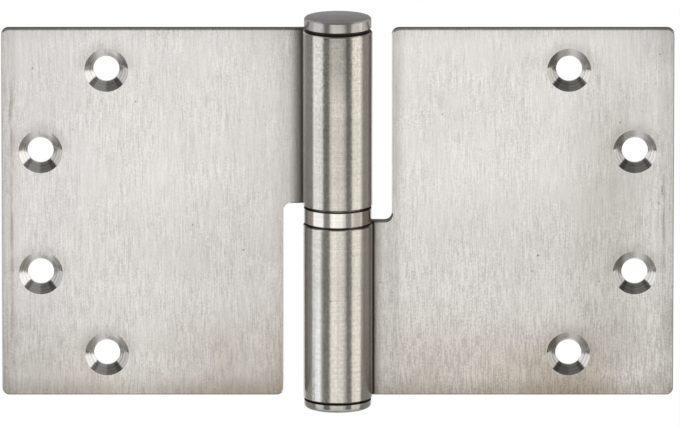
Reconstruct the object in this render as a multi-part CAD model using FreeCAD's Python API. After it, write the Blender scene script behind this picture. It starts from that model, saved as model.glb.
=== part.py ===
import FreeCAD, Part
import math
import os

# Lift-off ball bearing butt hinge, opened flat, in millimetres.
# Z runs up the pin, the screw heads face -Y, and the origin is midway up the bearing.
# The left leaf is rolled into the upper knuckle and lifts off the pin of the right leaf.

# Leaves
leaf_reach = 80.0  # pin axis to the outer edge of a leaf
leaf_height = 89.0
sheet = 3.0  # thickness of the rolled sheet
shut_gap = 4.0  # between the screw faces of the two leaves when shut
corner_radius = 1.75  # corners of the blank, outside and in the notch
edge_chamfer = 0.3  # rim of the blank
notch_room = 4.6  # between a leaf and the other leaf's knuckle

# Screw holes
hole_diameter = 6.2
sink_diameter = 10.4
sink_angle = 90.0
outer_hole_inset = 9.3  # outer pair, from the outer edge
outer_hole_spacing = 29.5
inner_hole_inset = 25.0  # inner pair, from the outer edge
inner_hole_margin = 10.0  # inner pair, from the top and bottom edges

# Knuckles
barrel_diameter = 16.5
bend_radius = 13.0  # middle of the sheet, where it bends back before the roll
seam_gap = 0.3  # between the end of the roll and the leaf

# Pin
pin_clearance = 0.05  # radial, running fit in the knuckles
pin_lead = 1.5  # cone at the tip, for dropping the upper leaf on
pin_chamfer = 0.6
pin_tip_room = 2.5  # between the tip and the top plug
pin_foot_room = 0.2  # between the foot and the bottom plug

# Bearing
bearing_height = 4.4  # between the two knuckles
ball_count = 11
ball_clearance = 0.05  # to the grooves and the pockets
race_gap = 1.0  # between the two races
race_clearance = 0.1  # radial, to the pin and to the shell
cage_thickness = 0.6
cage_clearance = 0.1  # radial, to the pin and to the shell, beyond that of the races
cage_wall = 0.2  # least wall beside and between the balls
shell_inset = 0.2  # shell below the knuckle surface
shell_gap = 0.5  # between the shell and a knuckle
shell_wall = 0.5
lip_reach = 0.5
lip_thickness = 0.4
lip_clearance = 0.05

# Caps
cap_inset = 0.25  # cap below the knuckle surface
plug_clearance = 0.03
plug_chamfer = 0.5
top_gap = 0.9
top_thickness = 2.4
top_chamfer = 0.3
top_plug_length = 6.0
bottom_gap = 0.45
bottom_thickness = 1.9
bottom_edge_radius = 0.9
bottom_plug_length = 5.0

# Places that follow from the sizes above
half_height = leaf_height / 2
knuckle_end = bearing_height / 2
front_y = shut_gap / 2
middle_y = front_y + sheet / 2
back_y = front_y + sheet
barrel_radius = barrel_diameter / 2
bore_radius = barrel_radius - sheet
roll_radius = barrel_radius - sheet / 2
notch_x = barrel_radius + notch_room
pin_radius = bore_radius - pin_clearance
plug_radius = bore_radius - plug_clearance
cap_radius = barrel_radius - cap_inset

# The bend and the roll touch on the line between their centres
bend_reach = bend_radius + roll_radius
bend_x = math.sqrt(bend_reach**2 - (middle_y + bend_radius) ** 2)
bend_angle = math.atan2(middle_y + bend_radius, -bend_x)
seam_reach = bend_radius + sheet / 2 + seam_gap
seam_cosine = (barrel_radius**2 + bend_reach**2 - seam_reach**2) / (2 * barrel_radius * bend_reach)
seam_angle = bend_angle + math.acos(seam_cosine)

# The balls are as large as the width of the cage, and the ring of its pockets, allow
shell_radius = barrel_radius - shell_inset
shell_bore = shell_radius - shell_wall
shell_top = knuckle_end - shell_gap
race_inside = pin_radius + race_clearance
race_outside = shell_bore - race_clearance
pitch_radius = (race_inside + race_outside) / 2
cage_inside = race_inside + cage_clearance
cage_outside = race_outside - cage_clearance
pocket_room = min(cage_outside - cage_inside, 2 * pitch_radius * math.sin(math.pi / ball_count))
pocket_radius = pocket_room / 2 - cage_wall
ball_radius = pocket_radius - ball_clearance

Vector = FreeCAD.Vector
origin = Vector(0, 0, 0)
up = Vector(0, 0, 1)


def line(start, end):
    return Part.LineSegment(start, end).toShape()


def arc(center, radius, start, end):
    # arc level with the XY plane, from one angle to another
    angles = (start, (start + end) / 2, end)
    points = [center + Vector(radius * math.cos(a), radius * math.sin(a), 0) for a in angles]
    return Part.Arc(*points).toShape()


def turned(profile):
    # solid of revolution about the pin axis, from (radius, height) points
    points = [Vector(radius, 0, height) for radius, height in profile]
    return Part.Face(Part.makePolygon(points + points[:1])).revolve(origin, up, 360)


def rim_edges(solid, radius, height):
    # the circular edges of one radius at one height
    circles = [edge for edge in solid.Edges if isinstance(edge.Curve, Part.Circle)]
    return [
        edge for edge in circles
        if abs(edge.Curve.Radius - radius) + abs(edge.Curve.Center.z - height) < 1e-6
    ]


def rounded_outline(corners):
    # closed outline of square corners (x, z, radius) in the XZ plane
    places = [Vector(x, 0, z) for x, z, radius in corners]
    rounds = []
    for i, (x, z, radius) in enumerate(corners):
        to_last = (places[i - 1] - places[i]).normalize() * radius
        to_next = (places[(i + 1) % len(places)] - places[i]).normalize() * radius
        center = places[i] + to_last + to_next
        middle = center + (places[i] - center) * math.sqrt(0.5)
        rounds.append((places[i] + to_last, middle, places[i] + to_next))
    edges = []
    for i, (start, middle, end) in enumerate(rounds):
        if corners[i][2] > 0:
            edges.append(Part.Arc(start, middle, end).toShape())
        edges.append(line(end, rounds[(i + 1) % len(rounds)][0]))
    return Part.Face(Part.Wire(edges))


def sheet_section():
    # leaf, bend and roll as one strip of sheet, seen along the pin
    bend_center = Vector(-bend_x, middle_y + bend_radius, 0)
    straight_down = -math.pi / 2
    to_pin = bend_angle - math.pi
    roll_end = seam_angle - 2 * math.pi
    end_direction = Vector(math.cos(roll_end), math.sin(roll_end), 0)
    edges = [
        line(Vector(-leaf_reach, front_y, 0), Vector(-bend_x, front_y, 0)),
        arc(bend_center, bend_radius + sheet / 2, straight_down, to_pin),
        arc(origin, bore_radius, bend_angle, roll_end),
        line(end_direction * bore_radius, end_direction * barrel_radius),
        arc(origin, barrel_radius, roll_end, bend_angle),
        arc(bend_center, bend_radius - sheet / 2, to_pin, straight_down),
        line(Vector(-bend_x, back_y, 0), Vector(-leaf_reach, back_y, 0)),
        line(Vector(-leaf_reach, back_y, 0), Vector(-leaf_reach, front_y, 0)),
    ]
    return Part.Face(Part.Wire(edges))


def leaf_outline():
    # front view of the leaf with its upper knuckle, cut away beside the lower one
    beyond = barrel_radius + sheet
    return rounded_outline([
        (-leaf_reach, -half_height, corner_radius),
        (-notch_x, -half_height, corner_radius),
        (-notch_x, knuckle_end, corner_radius),
        (beyond, knuckle_end, 0),
        (beyond, half_height, 0),
        (-leaf_reach, half_height, corner_radius),
    ])


def is_blank_rim(edge):
    # edges of the blank's rim: not those through the sheet, nor those along the bend and the roll
    start, end = edge.Vertexes[0].Point, edge.Vertexes[-1].Point
    straight = abs(edge.Length - (end - start).Length) < 1e-9
    if straight and abs(edge.Length - sheet) < 1e-6:
        return False
    upright = math.hypot(end.x - start.x, end.y - start.y) < 1e-6
    return not upright or start.x < -notch_x + 1e-6


def screw_hole(x, z):
    sink_depth = (sink_diameter - hole_diameter) / 2 / math.tan(math.radians(sink_angle / 2))
    inward = Vector(0, 1, 0)
    place = Vector(x, front_y, z)
    sink = Part.makeCone(sink_diameter / 2, hole_diameter / 2, sink_depth, place, inward)
    return sink.fuse(Part.makeCylinder(hole_diameter / 2, sheet, place, inward))


def rolled_leaf():
    strip = sheet_section().extrude(up * leaf_height).translated(up * -half_height)
    depth = Vector(0, 2 * barrel_diameter, 0)
    blank = leaf_outline().extrude(depth).translated(depth * -0.5)
    leaf = strip.common(blank).Solids[0]
    leaf = leaf.makeChamfer(edge_chamfer, [edge for edge in leaf.Edges if is_blank_rim(edge)])
    pairs = [
        (outer_hole_inset - leaf_reach, outer_hole_spacing / 2),
        (inner_hole_inset - leaf_reach, half_height - inner_hole_margin),
    ]
    holes = [screw_hole(x, side * z) for x, z in pairs for side in (1, -1)]
    return leaf.cut(holes).Solids[0]


def other_way_round(leaf):
    # the same blank, turned half a turn about Y, is the other leaf
    turned_leaf = leaf.copy()
    turned_leaf.rotate(origin, Vector(0, 1, 0), 180)
    return turned_leaf


def hinge_pin():
    foot = -half_height + bottom_plug_length + pin_foot_room
    tip = half_height - top_plug_length - pin_tip_room
    return turned([
        (0, foot),
        (pin_radius - pin_chamfer, foot),
        (pin_radius, foot + pin_chamfer),
        (pin_radius, tip - pin_lead),
        (pin_radius - pin_lead, tip),
        (0, tip),
    ])


def knuckle_cap(gap, thickness, plug_length):
    # plug, neck and disc, upright on a knuckle that ends at half_height, and the rim of the disc
    under = half_height + gap
    top = under + thickness
    foot = half_height - plug_length
    cap = turned([
        (0, foot),
        (plug_radius - plug_chamfer, foot),
        (plug_radius, foot + plug_chamfer),
        (plug_radius, half_height),
        (roll_radius, half_height),
        (roll_radius, under),
        (cap_radius, under),
        (cap_radius, top),
        (0, top),
    ])
    return cap, rim_edges(cap, cap_radius, top)


def top_cap():
    cap, rim = knuckle_cap(top_gap, top_thickness, top_plug_length)
    return cap.makeChamfer(top_chamfer, rim)


def bottom_cap():
    cap, rim = knuckle_cap(bottom_gap, bottom_thickness, bottom_plug_length)
    return upside_down(cap.makeFillet(bottom_edge_radius, rim))


def bearing_shell():
    # band with a lip turned in over each race
    lip_inside = shell_bore - lip_reach
    lip_under = shell_top - lip_thickness
    return turned([
        (shell_radius, -shell_top),
        (shell_radius, shell_top),
        (lip_inside, shell_top),
        (lip_inside, lip_under),
        (shell_bore, lip_under),
        (shell_bore, -lip_under),
        (lip_inside, -lip_under),
        (lip_inside, -shell_top),
    ])


def upper_race():
    # washer with a ball groove below and a step for the lip of the shell
    step_radius = shell_bore - lip_reach - race_clearance
    step_height = shell_top - lip_thickness - lip_clearance
    washer = turned([
        (race_inside, race_gap / 2),
        (race_outside, race_gap / 2),
        (race_outside, step_height),
        (step_radius, step_height),
        (step_radius, knuckle_end),
        (race_inside, knuckle_end),
    ])
    return washer.cut(Part.makeTorus(pitch_radius, ball_radius + ball_clearance)).Solids[0]


def upside_down(shape):
    flipped = shape.copy()
    flipped.rotate(origin, Vector(1, 0, 0), 180)
    return flipped


def ball_place(number):
    angle = 2 * math.pi * number / ball_count
    return Vector(pitch_radius * math.cos(angle), pitch_radius * math.sin(angle), 0)


def ball_cage():
    # flat ring with a round pocket for each ball
    under = up * (-cage_thickness / 2)
    ring = Part.makeCylinder(cage_outside, cage_thickness, under)
    bores = [Part.makeCylinder(cage_inside, cage_thickness, under)]
    for number in range(ball_count):
        bores.append(Part.makeCylinder(pocket_radius, cage_thickness, under + ball_place(number)))
    return ring.cut(bores).Solids[0]


left_leaf = rolled_leaf()
race = upper_race()
pieces = {
    "left_leaf": left_leaf,
    "right_leaf": other_way_round(left_leaf),
    "hinge_pin": hinge_pin(),
    "top_cap": top_cap(),
    "bottom_cap": bottom_cap(),
    "bearing_shell": bearing_shell(),
    "upper_race": race,
    "lower_race": upside_down(race),
    "ball_cage": ball_cage(),
}
for number in range(ball_count):
    pieces[f"ball_{number + 1:02d}"] = Part.makeSphere(ball_radius, ball_place(number))

os.makedirs("parts", exist_ok=True)
for name, shape in pieces.items():
    shape.exportStep(f"parts/{name}.step")
    print(name, "volume", round(shape.Volume, 2), "valid", shape.isValid())
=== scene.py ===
import functools
import math

import bpy
import numpy as np
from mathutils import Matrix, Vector

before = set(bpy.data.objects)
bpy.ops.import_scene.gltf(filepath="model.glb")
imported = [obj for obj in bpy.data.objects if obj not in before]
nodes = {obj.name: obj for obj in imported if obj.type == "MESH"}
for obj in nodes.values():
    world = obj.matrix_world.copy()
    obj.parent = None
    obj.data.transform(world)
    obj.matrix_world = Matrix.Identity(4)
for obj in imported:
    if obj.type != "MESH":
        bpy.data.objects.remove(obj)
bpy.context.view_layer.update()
scene = bpy.context.scene
scene.view_settings.view_transform = "Standard"

shot = {
    "distance": 4.00,                                  # metres from the aim point to the lens
    "elevation": 12.0,                                 # degrees above level
    "lens": 890.1,                                     # millimetres, as the sensor
    "sensor": 36.0,
    "aim": (0.00054, 0.0, 0.00015),
    "clip": (0.01, 50.0),
}


def makeCamera():
    lift = math.radians(shot["elevation"])
    back = Vector((0.0, -math.cos(lift), math.sin(lift)))
    lens = bpy.data.cameras.new("productCamera")
    lens.lens = shot["lens"]
    lens.sensor_width = shot["sensor"]
    lens.clip_start, lens.clip_end = shot["clip"]
    camera = bpy.data.objects.new("productCamera", lens)
    camera.location = Vector(shot["aim"]) + back * shot["distance"]
    camera.rotation_euler = (-back).to_track_quat("-Z", "Y").to_euler()
    scene.collection.objects.link(camera)
    scene.camera = camera


makeCamera()
print("camera set", shot["elevation"], "degrees up")


class Wire:                                            # one socket, so that shader maths reads as maths
    def __init__(self, tree, socket=None):
        self.tree = tree
        self.socket = socket

    def make(self, kind, settings=None, inputs=None, out=0):   # any node: type, settings, sockets
        node = self.tree.nodes.new("ShaderNode" + kind)
        for key, value in (settings or {}).items():
            setattr(node, key, value)
        for key, value in (inputs or {}).items():
            if isinstance(value, Wire):
                self.tree.links.new(value.socket, node.inputs[key])
            else:
                node.inputs[key].default_value = value
        return Wire(self.tree, node.outputs[out] if node.outputs else None)

    def other(self, out):                              # another output of the same node
        return Wire(self.tree, self.socket.node.outputs[out])

    def maths(self, operation, *values):
        return self.make("Math", {"operation": operation}, dict(enumerate(values)))

    def __add__(self, value):
        return self.maths("ADD", self, value)

    def __radd__(self, value):
        return self.maths("ADD", value, self)

    def __sub__(self, value):
        return self.maths("SUBTRACT", self, value)

    def __rsub__(self, value):
        return self.maths("SUBTRACT", value, self)

    def __mul__(self, value):
        return self.maths("MULTIPLY", self, value)

    def __rmul__(self, value):
        return self.maths("MULTIPLY", value, self)

    def __truediv__(self, value):
        return self.maths("DIVIDE", self, value)

    def __rtruediv__(self, value):
        return self.maths("DIVIDE", value, self)

    def __pow__(self, value):
        return self.maths("POWER", self, value)

    def __abs__(self):
        return self.maths("ABSOLUTE", self)

    def sign(self):
        return self.maths("SIGN", self)

    def lower(self, value):
        return self.maths("MINIMUM", self, value)

    def higher(self, value):
        return self.maths("MAXIMUM", self, value)

    def rise(self, low, high):                         # 0 up to low, 1 from high on, smooth between
        return self.make("MapRange", {"interpolation_type": "SMOOTHSTEP"},
                         {"Value": self, "From Min": low, "From Max": high})

    def near(self, centre, reach):                     # 1 at the centre, 0 from reach away on
        return abs(self - centre).rise(reach, 0.0)

    def mix(self, first, second, blend):               # a Mix node's colours are sockets 6, 7 and output 2
        return self.make("Mix", {"data_type": "RGBA", "blend_type": blend},
                         {0: self, 6: first, 7: second}, out=2)

    def colours(self, first, second):                  # first where this is 0, second where it is 1
        return self.mix(first, second, "MIX")

    def stained(self, colour, stain):                  # colour times stain where this is 1
        return self.mix(colour, stain, "MULTIPLY")

    def point(self, x, y, z):
        return self.make("CombineXYZ", None, {0: x, 1: y, 2: z})

    def noise(self, detail, rough=0.5):                # noise of feature size 1 over this vector
        return self.make("TexNoise", None,
                         {"Vector": self, "Scale": 1.0, "Detail": detail, "Roughness": rough})


perMetre = 1000.0                                      # millimetres
noiseMiddle = 0.5                                      # the tone that a noise swings about


def emptyFinish(name):
    material = bpy.data.materials.new(name)
    material.use_nodes = True
    material.node_tree.nodes.clear()
    return material, Wire(material.node_tree)


def startFinish(name):                                 # a new material and its places, in millimetres
    material, start = emptyFinish(name)
    axes = start.make("SeparateXYZ", None, {0: start.make("TexCoord").other("Object")})
    x, y, z = (axes.other(i) * perMetre for i in range(3))
    radius = (x ** 2.0 + y ** 2.0) ** 0.5              # from the pin axis
    return material, start, {"x": x, "y": y, "z": z, "out": abs(x), "tall": abs(z), "radius": radius}


def closeFinish(start, colour, rough, metal, height, depth):
    bump = start.make("Bump", None, {"Strength": 1.0, "Distance": depth, "Height": height})
    shader = start.make("BsdfPrincipled", None, {
        "Base Color": colour, "Roughness": rough, "Metallic": metal, "Normal": bump})
    start.make("OutputMaterial", None, {"Surface": shader})


# A row of the tables below is a mask. It is the product of the masks it is "on", of its smooth "steps"
# (place, 0 at, 1 at), of its bumps "near" a spot (place, centre, reach), and of its "fades", which are
# rows that take a share of it away.
def maskFrom(row, parts):
    factors = [parts[name] for name in row.get("on", [])]
    factors += [parts[place].rise(low, high) for place, low, high in row.get("steps", [])]
    factors += [parts[place].near(centre, reach) for place, centre, reach in row.get("near", [])]
    factors += [1.0 - fade["share"] * maskFrom(fade, parts) for fade in row.get("fades", [])]
    return math.prod(factors[1:], start=factors[0])


def anyOf(rows, parts):                                # the highest of several rows
    return functools.reduce(Wire.higher, [maskFrom(row, parts) for row in rows])


def swing(parts, shares):                              # noises about their middle, each times its share
    return sum((parts[name] - noiseMiddle) * share for name, share in shares.items())


leafLook = {                                           # lengths in millimetres
    "light": (0.86, 0.838, 0.803, 1), "dark": (0.58, 0.562, 0.535, 1), "midTone": 0.55,
    "sinkLight": (0.74, 0.73, 0.71, 1), "sinkDark": (0.48, 0.47, 0.46, 1),
    "bright": (0.98, 0.965, 0.945, 1), "edgeShadeColour": (0.11, 0.108, 0.105, 1),
    "rimWornAndLit": (0.97, 0.96, 0.94, 1),
    "outerRimShadeLeft": (0.45, 0.445, 0.435, 1), "outerRimShadeRight": (0.28, 0.275, 0.265, 1),
    "gapShade": (0.040, 0.025, 0.013, 1), "dotTint": (0.0, 0.0, 0.0, 1),
    "outerHole": (70.7, 14.75), "innerHole": (55.0, 34.5), "sinkRadius": 5.2, "sheetFront": 2.0,
    "holeBlend": 0.1,                                  # half width of the turn from one hole to the next
    "flankShift": 0.3, "flankLowShift": 0.3,           # the painted shade on the barrel's left flank starts further out, and more so below the bearing
    "flankTurn": 2.0,                                  # and more so below the bearing
    "pressShift": 17.0,                                # the press line is so much longer on the left leaf
    "notchShift": 2.2,                                 # the left notch ends so far above the middle
    "patterns": {                                      # width, length, detail and roughness of each noise
        "grain": (0.34, 4.2, 2.0, 0.6), "speck": (0.42, 0.42, 1.0, 0.5), "streak": (0.55, 10.0, 2.0, 0.5),
        "line": (0.45, 4.5, 1.0, 0.5), "patch": (9.0, 9.0, 2.0, 0.5), "cloud": (16.0, 16.0, 3.0, 0.5),
        "mottle": (0.6, 0.8, 3.0, 0.65), "drawn": (0.5, 60.0, 1.0, 0.5),
    },
    "rub": (0.3, 0.28, 16.0, 2.0),                     # polishing round the knuckle: radius, z, x, detail
    "turning": (0.36, 2.0),                            # tool rings in a countersink: pitch, detail
    "breaks": (8.0, 1.0),                              # gaps in the press line: length, detail
    "pitSpacing": 7.0,
    "brushed": {"streak": 0.6, "cloud": 0.7}, "grained": {"grain": 2.5, "speck": 1.3},
    "grainBase": 0.35, "grainPatch": 0.55, "grainLow": 0.75, "grainLowLeft": 0.45, "lineContrast": 0.22,
    "rubbed": {"rub": 0.8, "cloud": 0.7, "drawn": 0.7}, "mottled": {"mottle": 1.0},
    "mottleBase": 1.5, "mottleTop": 1.3, "sinkGlow": 0.4, "footGlow": 0.2,
    "rough": 0.30, "roughSwing": {"grain": 0.2, "cloud": 0.1},
    "knuckleRough": 0.19, "knuckleSwing": {"mottle": 0.16},
    "roughLevels": {"sink": 0.12, "edge": 0.45, "rim": 0.40, "gapShade": 0.5},
    "metalLoss": {"gapShade": 0.7, "rim": 0.45, "dull": 0.4, "shine": 0.35},
    "relief": {"grain": 0.3, "turning": 1.6, "flare": 14.0, "rub": 0.2, "mottle": 0.5, "rimWear": 120.0},
    "depth": 1.0e-5,                                   # metres of relief for a height of 1
}
leafMasks = {                                          # in this order, as later rows use earlier ones
    "left": {"steps": [("x", 0.1, -0.1)]},
    "right": {"steps": [("x", -0.1, 0.1)]},
    "front": {"steps": [("y", 3.6, 3.4)]},
    "knuckle": {"steps": [("radius", 8.75, 8.35)]},
    "flat": {"steps": [("radius", 8.35, 8.75)]},
    "sink": {"steps": [("hole", 5.24, 5.16), ("y", 4.95, 4.85)]},
    "plain": {"fades": [{"share": 1.0, "on": ["sink"]}]},
    "flare": {"steps": [("drop", -1.2, 0.8)]},         # the lower wall of a sink, cut a little flatter
    "roof": {"steps": [("drop", 0.8, -1.2)]},
    "foot": {"steps": [("lean", 0.64, 0.74)]},
    "inward": {"steps": [("holeSide", 0.9, -0.9)]},
    "sinkTop": {"on": ["sink", "roof"], "steps": [("holeOff", 3.2, 1.4)]},
    "sinkOut": {"on": ["sink", "flare", "left"], "steps": [("holeSide", -0.3, 0.6)]},
    "dull": {"on": ["sink", "roof"], "steps": [("holeSide", -0.9, 0.9), ("holeOff", 4.4, 2.6)]},
    "turned": {"steps": [("turning", 0.35, 0.65)]},
    "edge": {"on": ["flat", "plain"], "steps": [("y", 2.45, 2.7), ("y", 4.75, 4.6)]},
    # painted highlight on the upper knuckle's left flank
    "shine": {"on": ["knuckle", "left", "front"], "steps": [("z", 2.0, 3.0), ("out", 7.0, 7.5)],
              "fades": [{"share": 0.4, "steps": [("z", 40.0, 4.0)]}]},
    "pit": {"steps": [("pitGap", 0.30, 0.18)]},
    "patches": {"steps": [("patch", 0.35, 0.6)]},
    "lowEnd": {"steps": [("z", 8.0, -35.0)]},
    "topEnd": {"steps": [("z", 18.0, 38.0)]},
    "lineLight": {"steps": [("line", 0.6, 0.72)]},
    "lineDark": {"steps": [("line", 0.4, 0.28)]},
    "outerRim": {"steps": [("out", 78.5, 79.0)]},
    "rimBand": {"on": ["plain"],                       # upright corners of the blank
                "steps": [("y", 2.02, 2.1), ("y", 2.5, 2.4), ("tall", 43.9, 43.7), ("out", 11.0, 11.2)]},
}
leafRims = {                                           # where those corners are worn; the notch rims take a near-white colour, partly wear and partly painted highlight, and the outer rims painted shade, lighter on the left leaf than on the right
    "notch": {"on": ["rimBand"], "steps": [("notchRise", -0.6, 0.0)]},
    "outer": {"on": ["rimBand", "outerRim"]},
}
leafGapShade = {                                            # painted shade in the gaps: at the bearing gap, the knuckle ends, the seam beside the barrel and the bore
    "bearingGap": {"steps": [("tall", 2.37, 2.27), ("radius", 8.9, 8.6)]},
    "knuckleEnds": {"on": ["knuckle"], "steps": [("tall", 44.42, 44.48), ("radius", 8.9, 8.6)]},
    "seam": {"on": ["front"], "steps": [("out", 8.8, 8.65), ("y", 1.4, 1.7)],
             "fades": [{"share": 0.45, "on": ["left"]}]},
    "bore": {"steps": [("radius", 5.5, 5.3)]},
}
leafStainsAndShade = {                                         # each zone multiplies the colour by its tint; most zones are painted shade, the rest the steel's own tone, stains and marks
    "knuckle": {"tint": (0.80, 0.776, 0.728, 1), "on": ["knuckle"],
                "fades": [{"share": 0.7, "steps": [("z", -8.0, -40.0), ("x", -3.6, -4.6)]}]},
    # painted shade on the upper knuckle's middle band and on both flanks of the barrel
    "upperKnuckleShade": {"tint": (0.90, 0.90, 0.90, 1), "on": ["knuckle"],
                     "steps": [("z", -2.0, 2.0), ("out", 4.2, 3.2)]},
    "flank": {"tint": (0.43, 0.42, 0.415, 1), "on": ["knuckle"],
              "steps": [("flankOut", 5.15, 5.85), ("x", -8.0, -7.4)]},
    "capStain": {"tint": (0.56, 0.575, 0.59, 1), "on": ["knuckle"],
                 "steps": [("z", 27.0, 38.0), ("x", -2.4, -1.4), ("x", 3.2, 2.2)],
                 "fades": [{"share": 0.6, "steps": [("mottle", 0.58, 0.42)]}]},
    # painted shade: a dark line at the edge of the reflection band on the lower knuckle
    "bandEdgeShade": {"tint": (0.55, 0.53, 0.51, 1), "on": ["knuckle"],
                 "steps": [("z", -2.3, -3.0)], "near": [("x", -3.63, 0.7)]},
    # painted shade on the leaves where they bend into the barrel, and beside the barrel
    "crookShadeLeft": {"tint": (0.21, 0.205, 0.20, 1), "on": ["left", "flat", "front"],
                  "steps": [("out", 12.2, 8.6)]},
    "crookShadeRight": {"tint": (0.66, 0.65, 0.63, 1), "on": ["right", "flat", "front"],
                   "steps": [("out", 11.2, 8.9)]},
    "innerEdgeShade": {"tint": (0.86, 0.855, 0.85, 1), "on": ["flat", "front"], "steps": [("out", 15.8, 12.9)],
                  "fades": [{"share": 0.25, "on": ["right"]}]},
    "innerSideShade": {"tint": (0.94, 0.935, 0.93, 1), "on": ["left", "flat", "front"],
                  "steps": [("out", 32.0, 14.0)]},
    # painted shade along the outer edges of both leaves
    "outerSideShade": {"tint": (0.87, 0.865, 0.86, 1), "on": ["front"], "steps": [("out", 75.4, 77.8)]},
    # painted shade beside the right leaf's notch
    "notchShade": {"tint": (0.82, 0.82, 0.81, 1), "on": ["right", "flat", "front"],
                  "steps": [("out", 16.6, 14.0)], "fades": [{"share": 0.55, "steps": [("z", 6.0, 0.0)]}]},
    # painted shade over the upper right corner
    "cornerShade": {"tint": (0.88, 0.88, 0.88, 1), "on": ["front"],
                   "steps": [("x", 66.0, 76.0), ("z", 33.0, 41.0)]},
    # darker on a stretch of the right leaf's outer edge
    "rightEdgeDark": {"tint": (0.82, 0.81, 0.80, 1), "on": ["front"],
                  "steps": [("x", 76.5, 78.5)], "near": [("z", -26.0, 9.0)]},
    # painted shade over broad outer parts of both leaves
    "rightShade": {"tint": (0.81, 0.805, 0.785, 1), "on": ["front", "plain"],
                  "steps": [("z", 46.0, 12.0), ("z", -48.0, -27.0)], "near": [("x", 66.0, 16.0)]},
    "leftShade": {"tint": (0.945, 0.945, 0.95, 1), "on": ["front", "plain"], "steps": [("x", -56.0, -66.0)]},
    # painted shade on the outermost edge
    "outerEdgeShade": {"tint": (0.90, 0.89, 0.88, 1), "on": ["front"], "steps": [("out", 78.3, 79.9)]},
    "pressLine": {"tint": (0.66, 0.65, 0.64, 1), "on": ["front"],      # left by the blanking tool
                  "steps": [("pressEnd", 17.0, 9.0)], "near": [("out", 77.6, 0.6)],
                  "fades": [{"share": 0.75, "steps": [("breaks", 0.6, 0.4)]}]},
    # painted shade: the left leaf a little darker than the right
    "left": {"tint": (0.952, 0.952, 0.955, 1), "on": ["left", "flat", "front"]},
    # painted shade over the lower middle of both leaves
    "bellyShade": {"tint": (0.89, 0.875, 0.87, 1), "on": ["flat", "front"],
              "steps": [("z", 16.0, -12.0), ("out", 72.0, 55.0)],
              "fades": [{"share": 0.45, "steps": [("x", -34.0, -46.0)]}]},
    # painted shade with a warm tint, darker towards the low end of both leaves
    "low": {"tint": (0.73, 0.69, 0.64, 1), "on": ["flat", "plain"], "steps": [("z", -18.0, -44.5)],
            "fades": [{"share": 0.7, "near": [("x", 11.5, 5.0)]},
                      {"share": 0.6, "near": [("x", -48.0, 14.0)]},
                      {"share": 0.5, "steps": [("cloud", 0.6, 0.35)]},
                      {"share": 0.3, "steps": [("x", -45.0, -68.0), ("z", -33.0, -41.0)]}]},
    # painted shade on the lower outer parts and along the bottom and top edges
    "lowLeftShade": {"tint": (0.89, 0.89, 0.895, 1), "on": ["flat", "plain"],
                "steps": [("z", -10.0, -30.0), ("x", -60.0, -74.0)]},
    "lowRightShade": {"tint": (0.91, 0.895, 0.845, 1), "on": ["flat", "plain"],
                 "steps": [("z", -24.0, -42.0), ("x", 20.0, 45.0), ("x", 68.0, 58.0)]},
    "lowEdgeShade": {"tint": (0.76, 0.74, 0.72, 1), "on": ["flat", "plain"], "steps": [("z", -39.0, -44.4)]},
    "topEdgeShade": {"tint": (0.93, 0.93, 0.93, 1), "on": ["flat"], "steps": [("z", 40.5, 44.4)]},
    "pit": {"tint": (0.45, 0.44, 0.42, 1), "on": ["pit", "plain"]},
    "halo": {"tint": (0.85, 0.845, 0.845, 1), "on": ["roof", "plain", "front"],
             "steps": [("hole", 8.2, 5.4)]},
    "sinkShade": {"tint": (0.71, 0.71, 0.70, 1), "on": ["sink", "flare"],
                  "steps": [("holeSide", 0.45, -0.45)]},
    # painted shade on the lower wall of the right leaf's countersinks
    "sinkFootShade": {"tint": (0.75, 0.74, 0.73, 1), "on": ["sink", "right", "foot"]},
    "sinkWarm": {"tint": (1.0, 0.975, 0.925, 1), "on": ["sink", "flare"],
                 "steps": [("holeRight", 0.5, 1.5)]},
    "topShade": {"tint": (0.66, 0.66, 0.65, 1), "on": ["sinkTop", "inward"]},
    # painted shade on the upper sides of the countersinks
    "sinkSideShade": {"tint": (0.50, 0.485, 0.47, 1), "on": ["sink", "roof"], "steps": [("holeOff", 2.0, 3.4)],
                  "fades": [{"share": 0.65, "steps": [("holeSide", -1.0, 1.0)]}]},
}
leafDots = {                                           # dark spots: x, z, half width, half height, strength
    "leftSmear": (-78.0, 24.2, 0.5, 3.4, 0.30), "rightDash": (77.2, 5.4, 0.35, 2.0, 0.45),
    "rightSpeck": (76.4, 2.2, 0.45, 0.6, 0.40), "knuckleSpot": (-1.7, -19.5, 0.55, 0.5, 0.40),
    "innerPit": (24.9, 23.8, 0.40, 0.4, 0.55), "seamScratch": (10.2, -17.0, 0.65, 0.28, 0.55),
    "topFleck": (-20.6, 42.2, 0.35, 0.3, 0.30), "leftFleck": (-41.8, 5.2, 0.4, 0.35, 0.22),
}


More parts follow.
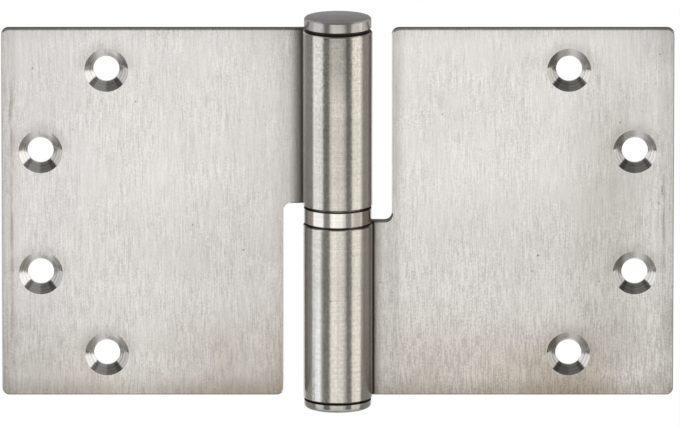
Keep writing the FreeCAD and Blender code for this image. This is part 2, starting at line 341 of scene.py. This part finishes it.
def leafPlaces(parts):                                 # distances that the leaf's masks read
    look = leafLook
    x, z, out, tall = (parts[name] for name in ("x", "z", "out", "tall"))
    left = maskFrom(leafMasks["left"], parts)
    side = 1.0 - 2.0 * left                            # -1 on the left, 1 on the right
    (outerX, outerZ), (innerX, innerZ) = look["outerHole"], look["innerHole"]
    outer = ((out - outerX) ** 2.0 + (tall - outerZ) ** 2.0) ** 0.5
    inner = ((out - innerX) ** 2.0 + (tall - innerZ) ** 2.0) ** 0.5
    hole = outer.lower(inner)                          # to the nearest screw hole's axis
    pick = (outer - inner).rise(-look["holeBlend"], look["holeBlend"])      # 1 by the inner hole
    holeX = outerX + (innerX - outerX) * pick
    holeZ = outerZ + (innerZ - outerZ) * pick
    drop = z.sign() * holeZ - z                        # below that axis
    flankLow = look["flankLowShift"] * z.rise(look["flankTurn"], -look["flankTurn"])
    return {
        "hole": hole, "holeSide": out - holeX, "holeOff": abs(out - holeX), "holeRight": x - side * holeX,
        "drop": drop, "lean": drop / hole,
        "flankOut": out - left * (look["flankShift"] + flankLow),
        "pressEnd": tall - left * look["pressShift"],
        "notchRise": z * side + left * look["notchShift"],
    }


def leafNoises(start, parts):
    look = leafLook
    x, y, z = (parts[name] for name in ("x", "y", "z"))
    noises = {}
    for name, (width, length, detail, rough) in look["patterns"].items():
        noises[name] = start.point(x / width, y / width, z / length).noise(detail, rough)
    rubRadius, rubZ, rubX, rubDetail = look["rub"]
    noises["rub"] = start.point(parts["radius"] / rubRadius, z / rubZ, x / rubX).noise(rubDetail)
    turningPitch, turningDetail = look["turning"]
    noises["turning"] = start.point(parts["hole"] / turningPitch, 0.0, 0.0).noise(turningDetail)
    breakLength, breakDetail = look["breaks"]
    noises["breaks"] = start.point(0.0, 0.0, z / breakLength).noise(breakDetail)
    gap = look["pitSpacing"]
    cells = start.make("TexVoronoi", {"feature": "F1"}, {
        "Vector": start.point(x / gap, y / gap, z / gap), "Scale": 1.0})
    noises["pitGap"] = cells * gap                     # to the nearest pit's centre
    return noises


def leafColour(parts):
    look = leafLook
    grainLow = look["grainLow"] - look["grainLowLeft"] * parts["left"]
    strength = look["grainBase"] + look["grainPatch"] * parts["patches"] + grainLow * parts["lowEnd"]
    brushed = look["midTone"] + swing(parts, look["brushed"]) + swing(parts, look["grained"]) * strength \
        + (parts["lineLight"] - parts["lineDark"]) * look["lineContrast"]
    blotches = look["mottleBase"] + look["mottleTop"] * parts["topEnd"]
    rubbed = look["midTone"] + swing(parts, look["rubbed"]) + swing(parts, look["mottled"]) * blotches
    tone = brushed * parts["flat"] + rubbed * parts["knuckle"]
    colour = tone.colours(look["dark"], look["light"])
    colour = parts["sink"].colours(colour, parts["turned"].colours(look["sinkDark"], look["sinkLight"]))
    # painted highlight: the top of each countersink, and the outer lower wall on the left leaf, lightened
    # towards near-white
    glow = parts["sinkTop"].higher(parts["sinkOut"] * (look["sinkGlow"] + look["footGlow"] * parts["foot"]))
    colour = glow.colours(colour, look["bright"])
    # painted shade: the cut edges of the sheet near-black
    colour = parts["edge"].colours(colour, look["edgeShadeColour"])
    # painted highlight on the upper knuckle's left flank
    colour = parts["shine"].colours(colour, look["bright"])
    for row in leafStainsAndShade.values():
        colour = maskFrom(row, parts).stained(colour, row["tint"])
    for dotX, dotZ, wide, high, darkness in leafDots.values():
        dot = parts["x"].near(dotX, wide) * parts["z"].near(dotZ, high) * parts["front"] * darkness
        colour = dot.stained(colour, look["dotTint"])
    # painted shade on the outer rims, and on the notch rims wear with painted highlight
    outerRimShade = parts["left"].colours(look["outerRimShadeRight"], look["outerRimShadeLeft"])
    colour = parts["rim"].colours(colour, parts["outerRim"].colours(look["rimWornAndLit"], outerRimShade))
    # painted shade: near-black in the gaps, where the steel is also rougher and less metallic
    return parts["gapShade"].colours(colour, look["gapShade"])


def leafRough(parts):
    look = leafLook
    brushed = look["rough"] + swing(parts, look["roughSwing"])
    rubbed = look["knuckleRough"] + swing(parts, look["knuckleSwing"])
    rough = brushed * parts["flat"] + rubbed * parts["knuckle"]
    for name, level in look["roughLevels"].items():
        rough = rough * (1.0 - parts[name]) + level * parts[name]
    return rough


def leafRelief(parts):
    relief = leafLook["relief"]
    brushed = parts["grain"] * relief["grain"] * parts["flat"] * parts["plain"]
    cone = (leafLook["sinkRadius"] - parts["hole"]) * relief["flare"] * parts["flare"]
    sunk = (parts["turning"] * relief["turning"] + cone) * parts["sink"]
    rolled = (parts["rub"] * relief["rub"] + parts["mottle"] * relief["mottle"]) * parts["knuckle"]
    slope = (parts["y"] - leafLook["sheetFront"]) * relief["rimWear"]
    worn = slope * parts["rim"] * (1.0 - parts["outerRim"])
    return brushed + sunk + rolled + worn


def makeLeafSteel():                                   # brushed on the flat, polished on the knuckle
    material, start, parts = startFinish("leafSteelBrushed")
    parts.update(leafPlaces(parts))
    parts.update(leafNoises(start, parts))
    for name, row in leafMasks.items():
        parts[name] = maskFrom(row, parts)
    parts["rim"] = anyOf(leafRims.values(), parts)
    parts["gapShade"] = anyOf(leafGapShade.values(), parts)
    metal = 1.0 - sum(share * parts[name] for name, share in leafLook["metalLoss"].items())
    closeFinish(start, leafColour(parts), leafRough(parts), metal, leafRelief(parts), leafLook["depth"])
    return material


turnedShared = {                                       # the same on every turned piece, in millimetres
    "ringDetail": 3.0, "ringRough": 0.6, "cloudSize": 3.0, "cloudDetail": 3.0,
    "toneLimits": (0.3, 0.7), "ringShare": 0.6, "cloudShare": 0.4, "roughSwing": 0.1,
    "turnedGapShade": (0.040, 0.025, 0.013, 1), "turnedGapShadeRough": 0.5, "turnedGapShadeMetalLoss": 0.7,
}
turnedLook = {                                         # stains, painted shade and the painted shade in the gaps are rows, as for the leaf
    "cap": {
        "light": (0.525, 0.512, 0.495, 1), "dark": (0.337, 0.328, 0.315, 1),
        "rough": 0.22, "ring": 0.25, "depth": 2e-6, "dome": 1.5,
        "stains": [{"tint": (1.0, 0.97, 0.93, 1), "steps": [("radius", 7.8, 7.9)]}],
        "turnedGapShade": [{"steps": [("tall", 45.43, 45.40)]}],
    },
    "foot": {
        "light": (0.54, 0.515, 0.48, 1), "dark": (0.35, 0.33, 0.30, 1),
        "rough": 0.16, "ring": 0.25, "depth": 2e-6,
        # painted shade on the flanks of the bottom cap
        "stains": [{"tint": (0.55, 0.53, 0.51, 1), "steps": [("out", 5.0, 5.9)]}],
        "turnedGapShade": [{"steps": [("tall", 44.98, 44.95)]}],
    },
    "shell": {                                         # darker on its front right, with painted shade on its flanks
        "light": (0.88, 0.845, 0.785, 1), "dark": (0.70, 0.665, 0.61, 1),
        "rough": 0.16, "ring": 0.2, "depth": 5e-7,
        "stains": [{"tint": (0.48, 0.46, 0.43, 1), "steps": [("x", 2.6, 4.2), ("y", 1.0, -1.0)]},
                   {"tint": (0.98, 0.965, 0.95, 1), "steps": [("x", -2.2, -3.4), ("y", 1.0, -1.0)]},
                   {"tint": (0.42, 0.40, 0.38, 1), "steps": [("out", 5.4, 6.2)]}],
        "turnedGapShade": [{"steps": [("tall", 1.69, 1.70)]}, {"steps": [("radius", 7.7, 7.6)]}],
    },
    "pin": {
        "light": (0.66, 0.65, 0.64, 1), "dark": (0.48, 0.47, 0.46, 1),
        "rough": 0.2, "ring": 0.15, "depth": 8e-7,
    },
    "race": {
        "light": (0.58, 0.58, 0.59, 1), "dark": (0.44, 0.44, 0.45, 1),
        "rough": 0.16, "ring": 0.1, "depth": 5e-7,
        "turnedGapShade": [{"steps": [("radius", 7.2, 7.35)]}],
    },
    "cage": {
        "light": (0.86, 0.66, 0.32, 1), "dark": (0.66, 0.46, 0.18, 1),
        "rough": 0.3, "ring": 0.2, "depth": 1e-6,
    },
    "ball": {
        "light": (0.72, 0.72, 0.73, 1), "dark": (0.62, 0.62, 0.64, 1),
        "rough": 0.07, "ring": 0.3, "depth": 2e-7,
    },
}


def makeTurnedSteel(name):                             # fine rings round the pin axis, on faces and on walls
    look = turnedLook[name]
    shared = turnedShared
    material, start, parts = startFinish(name + "Turned")
    x, y, z, radius = (parts[key] for key in ("x", "y", "z", "radius"))
    pitch = look["ring"]
    ring = start.point(radius / pitch, z / pitch, 0.0).noise(shared["ringDetail"], shared["ringRough"])
    size = shared["cloudSize"]
    cloud = start.point(x / size, y / size, z / size).noise(shared["cloudDetail"])
    low, high = shared["toneLimits"]
    tone = ring.rise(low, high) * shared["ringShare"] + cloud.rise(low, high) * shared["cloudShare"]
    colour = tone.colours(look["dark"], look["light"])
    for row in look.get("stains", []):
        colour = maskFrom(row, parts).stained(colour, row["tint"])
    rough = look["rough"] + (ring - noiseMiddle) * shared["roughSwing"]
    metal = 1.0
    if "turnedGapShade" in look:
        # painted shade: near-black, rougher and less metallic in the gaps between the turned parts
        turnedGapShade = anyOf(look["turnedGapShade"], parts)
        colour = turnedGapShade.colours(colour, shared["turnedGapShade"])
        rough = rough * (1.0 - turnedGapShade) + shared["turnedGapShadeRough"] * turnedGapShade
        metal = 1.0 - shared["turnedGapShadeMetalLoss"] * turnedGapShade
    height = ring
    if "dome" in look:                                 # the disc's face falls off towards its rim
        height = ring - radius ** 2.0 * look["dome"]
    closeFinish(start, colour, rough, metal, height, look["depth"])
    return material


leafSteel = makeLeafSteel()
finishes = {name: makeTurnedSteel(name) for name in turnedLook}
wears = {
    "left_leaf": leafSteel, "right_leaf": leafSteel, "hinge_pin": finishes["pin"],
    "top_cap": finishes["cap"], "bottom_cap": finishes["foot"], "bearing_shell": finishes["shell"],
    "upper_race": finishes["race"], "lower_race": finishes["race"], "ball_cage": finishes["cage"],
}
for name, node in nodes.items():
    finish = wears.get(name, finishes["ball"])
    node.data.materials.clear()
    node.data.materials.append(finish)
print("finishes put on", len(nodes), "nodes")

studio = {
    "cardRadius": 1.1,                                 # metres
    "cardRows": 13, "cardColumns": 37,
    # each card's azimuth from and to, elevation from and to, brightness, nearness
    "cards": {
        "below": (-180.0, 180.0, -89.0, -50.0, 0.60, 1.02),
        "tableLow": (-92.0, 92.0, -50.0, -26.0, 0.85, 1.0),
        "tableFront": (-26.0, 27.0, -26.0, 5.0, 1.15, 1.0),
        "tableRim": (-17.0, -9.0, -26.0, 5.0, 1.34, 0.99),
        "tableShade": (17.0, 27.0, -42.0, 10.0, 0.82, 0.27),
        "flagLeft": (-50.0, -26.0, -26.0, 5.0, 0.24, 1.0),
        "flagRight": (27.0, 48.0, -26.0, 5.0, 0.24, 1.0),
        "cameraSide": (-50.0, 48.0, 5.0, 45.0, 0.22, 1.0),
        "sideLightLeft": (-84.0, -50.0, -26.0, 28.0, 1.30, 1.0),
        "sideLightRight": (48.0, 84.0, -26.0, 28.0, 1.26, 1.0),
        "sideGlowLeft": (-92.0, -84.0, -26.0, 28.0, 1.65, 1.0),
        "sideGlowRight": (84.0, 92.0, -26.0, 28.0, 1.9, 1.0),
        "sideGapLeft": (-92.0, -82.0, -32.0, -14.0, 0.12, 0.99),
        "sideGapRight": (82.0, 92.0, -32.0, -14.0, 0.12, 0.99),
        "sideHighLeft": (-92.0, -50.0, 28.0, 45.0, 0.14, 1.01),
        "sideHighRight": (48.0, 92.0, 28.0, 45.0, 0.14, 1.01),
        "sideLeft": (-150.0, -92.0, -50.0, 45.0, 0.70, 1.0),
        "sideRight": (92.0, 150.0, -50.0, 45.0, 0.70, 1.0),
        "behindLow": (150.0, 210.0, -10.0, 13.0, 0.48, 1.0),
        "behindHigh": (150.0, 210.0, 13.0, 45.0, 0.28, 1.0),
        "overheadFront": (-90.0, 90.0, 45.0, 89.0, 0.27, 1.02),
        "overheadBack": (90.0, 270.0, 45.0, 89.0, 0.90, 1.02),
    },
    "tints": {                                         # the other cards are white
        "sideLightLeft": (0.91, 0.935, 1.0, 1), "sideGlowLeft": (0.93, 0.955, 1.0, 1),
        "sideLightRight": (1.0, 0.98, 0.96, 1),
    },
    "white": (1, 1, 1, 1),
    "floorDrop": -2.4, "floorReach": 14.0, "floorPoints": 9,
    "floorColour": (0.8, 0.8, 0.8, 1), "floorLift": 0.2,
    "worldLight": 1.0,
}


def gridQuads(rows, columns):                          # quads between the neighbours of a grid of points
    r, c = np.meshgrid(np.arange(rows - 1), np.arange(columns - 1), indexing="ij")
    first = r * columns + c
    return np.stack([first, first + 1, first + columns + 1, first + columns], axis=-1).reshape(-1, 4)


def stageSheet(name, points, finish):                  # a grid of points as a sheet of the studio
    rows, columns = points.shape[:2]
    mesh = bpy.data.meshes.new(name)
    mesh.from_pydata(points.reshape(-1, 3).tolist(), [], gridQuads(rows, columns).tolist())
    mesh.materials.append(finish)
    sheet = bpy.data.objects.new(name, mesh)
    scene.collection.objects.link(sheet)
    return sheet


def makeCard(name, azimuthFrom, azimuthTo, elevationFrom, elevationTo, brightness, nearness):
    # a patch of a sphere round the part, azimuth along the columns and elevation along the rows
    rows = np.radians(np.linspace(elevationFrom, elevationTo, studio["cardRows"]))
    columns = np.radians(np.linspace(azimuthFrom, azimuthTo, studio["cardColumns"]))
    elevation, azimuth = np.meshgrid(rows, columns, indexing="ij")
    level = np.cos(elevation)
    points = np.stack([np.sin(azimuth) * level, -np.cos(azimuth) * level, np.sin(elevation)], axis=-1)
    finish, start = emptyFinish(name)
    tint = studio["tints"].get(name, studio["white"])
    glow = start.make("Emission", None, {"Color": tint, "Strength": brightness})
    start.make("OutputMaterial", None, {"Surface": glow})
    card = stageSheet(name, nearness * studio["cardRadius"] * points, finish)
    card.visible_camera = False                        # seen only in the steel's reflections
    card.visible_diffuse = False
    card.visible_shadow = False
    card.visible_transmission = False
    card.visible_volume_scatter = False


def makeFloor():                                       # a level square under the part
    ticks = np.linspace(-studio["floorReach"], studio["floorReach"], studio["floorPoints"])
    y, x = np.meshgrid(ticks, ticks, indexing="ij")
    points = np.stack([x, y, np.full_like(x, studio["floorDrop"])], axis=-1)
    finish, start = emptyFinish("floorPale")
    path = start.make("LightPath")
    seen = path.other("Is Camera Ray").higher(path.other("Is Glossy Ray"))
    seen = seen.higher(path.other("Is Transmission Ray"))
    paint = start.make("BsdfDiffuse", None, {"Color": studio["floorColour"]})
    glow = start.make("Emission", None, {"Color": studio["white"], "Strength": seen * studio["floorLift"]})
    start.make("OutputMaterial", None, {"Surface": start.make("AddShader", None, {0: paint, 1: glow})})
    stageSheet("paleFloor", points, finish)


def makeWorld():
    world = bpy.data.worlds.new("studioWhite")
    world.use_nodes = True
    background = world.node_tree.nodes["Background"]
    background.inputs["Color"].default_value = studio["white"]
    background.inputs["Strength"].default_value = studio["worldLight"]
    scene.world = world


for name, card in studio["cards"].items():
    makeCard(name, *card)
makeFloor()
makeWorld()
print("studio set with", len(studio["cards"]), "cards")
